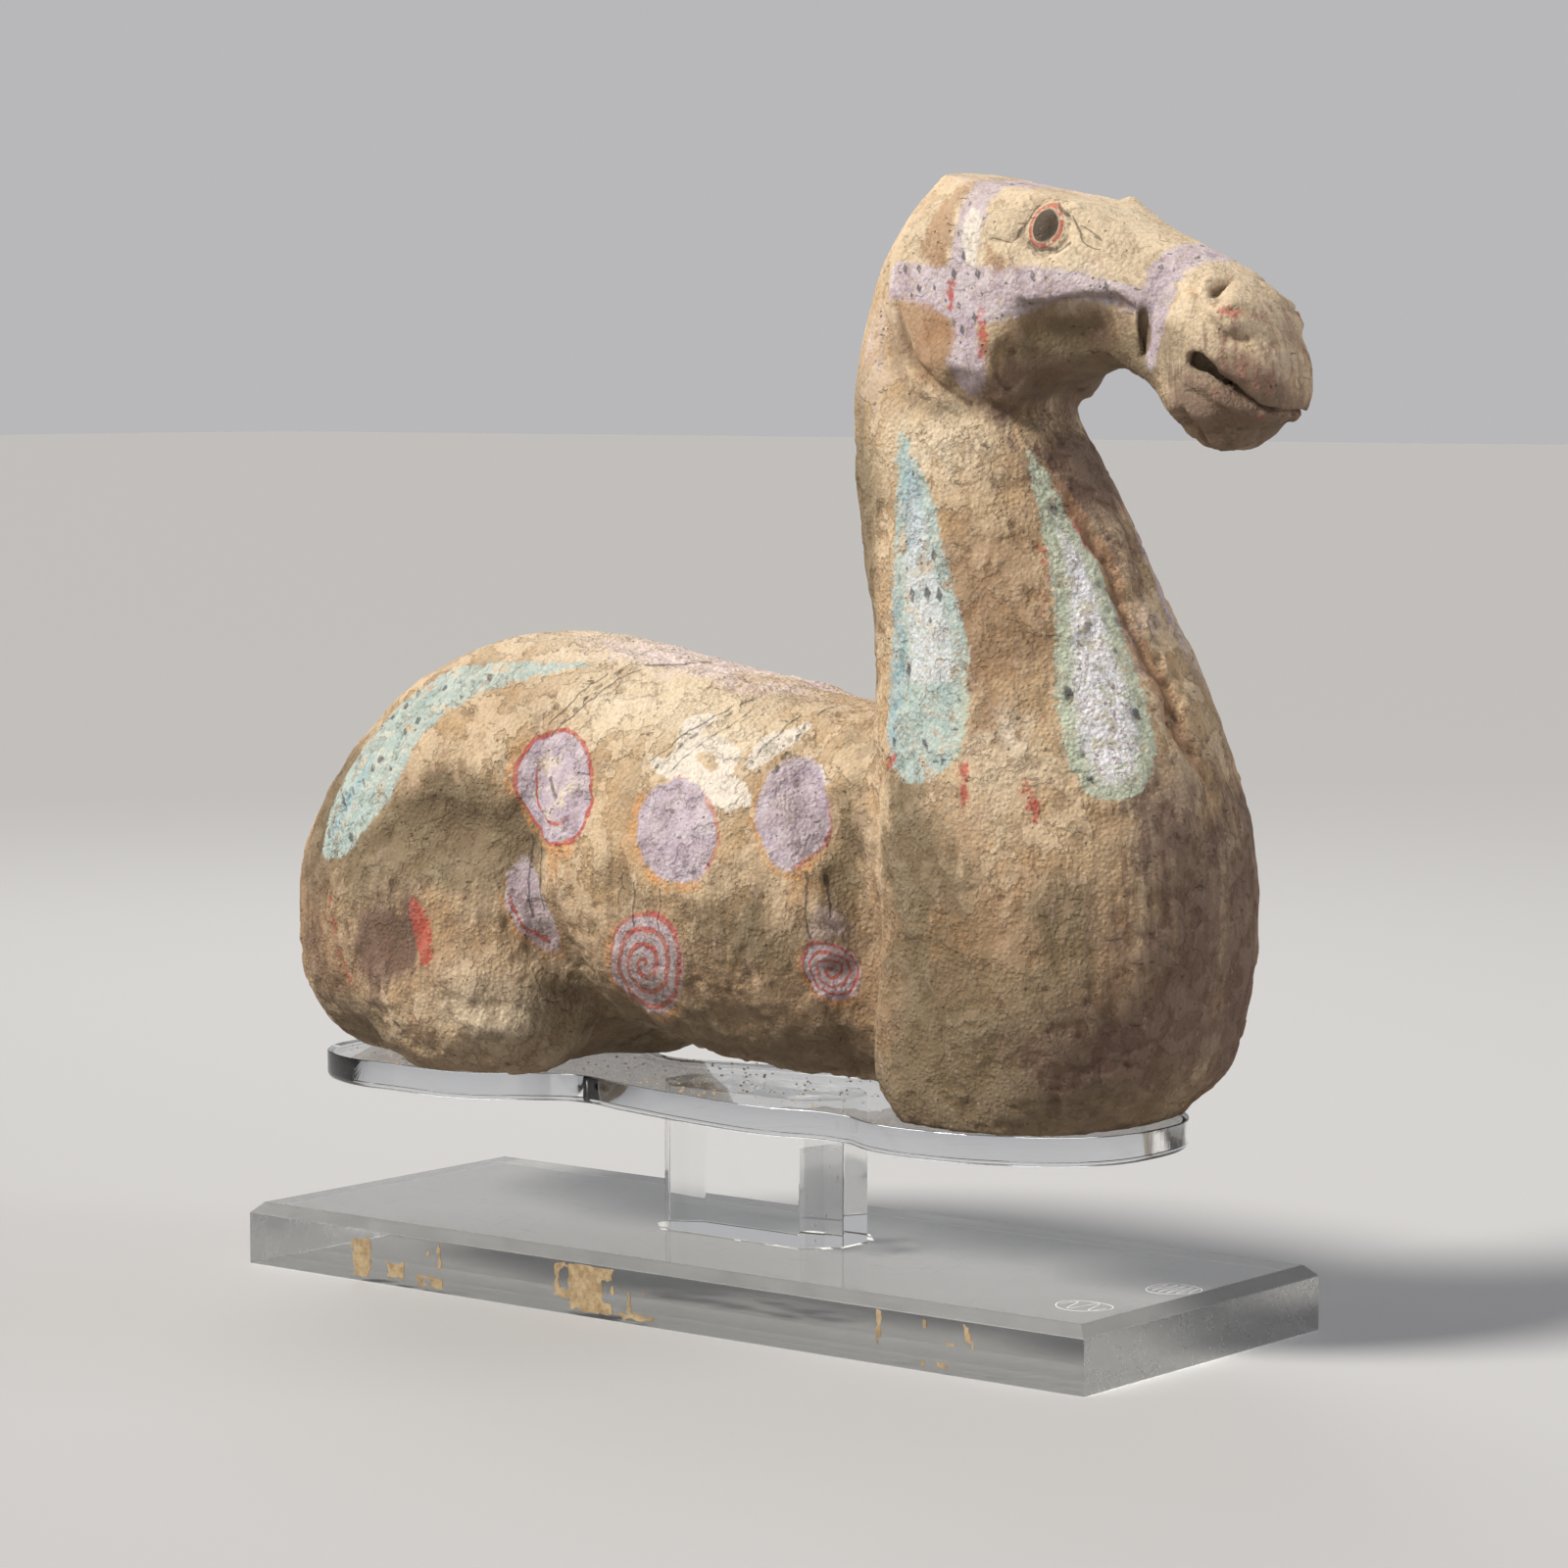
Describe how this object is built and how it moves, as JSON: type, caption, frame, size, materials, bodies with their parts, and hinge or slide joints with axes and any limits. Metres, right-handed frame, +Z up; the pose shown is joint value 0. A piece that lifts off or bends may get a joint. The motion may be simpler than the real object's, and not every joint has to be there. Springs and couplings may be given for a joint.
{
  "type": "pottery horse figure",
  "caption": "Hollow painted pottery horse torso with neck and head, legless, resting on a lobed clear acrylic plate, a chamfered post and a bevelled slab.",
  "frame": {"origin": "centre of the base slab's underside", "axes": "+X the way the horse looks, +Y the horse's left side, +Z up"},
  "size_m": [0.7098, 0.238, 0.6593],
  "materials": {
    "painted_pottery": "matt, weathered, with worn paint",
    "clear_acrylic": "polished clear acrylic"
  },
  "bodies": {
    "root": {"pottery_horse": "painted_pottery", "support_plate": "clear_acrylic", "support_post": "clear_acrylic", "base_slab": "clear_acrylic"}
  },
  "joints": []
}
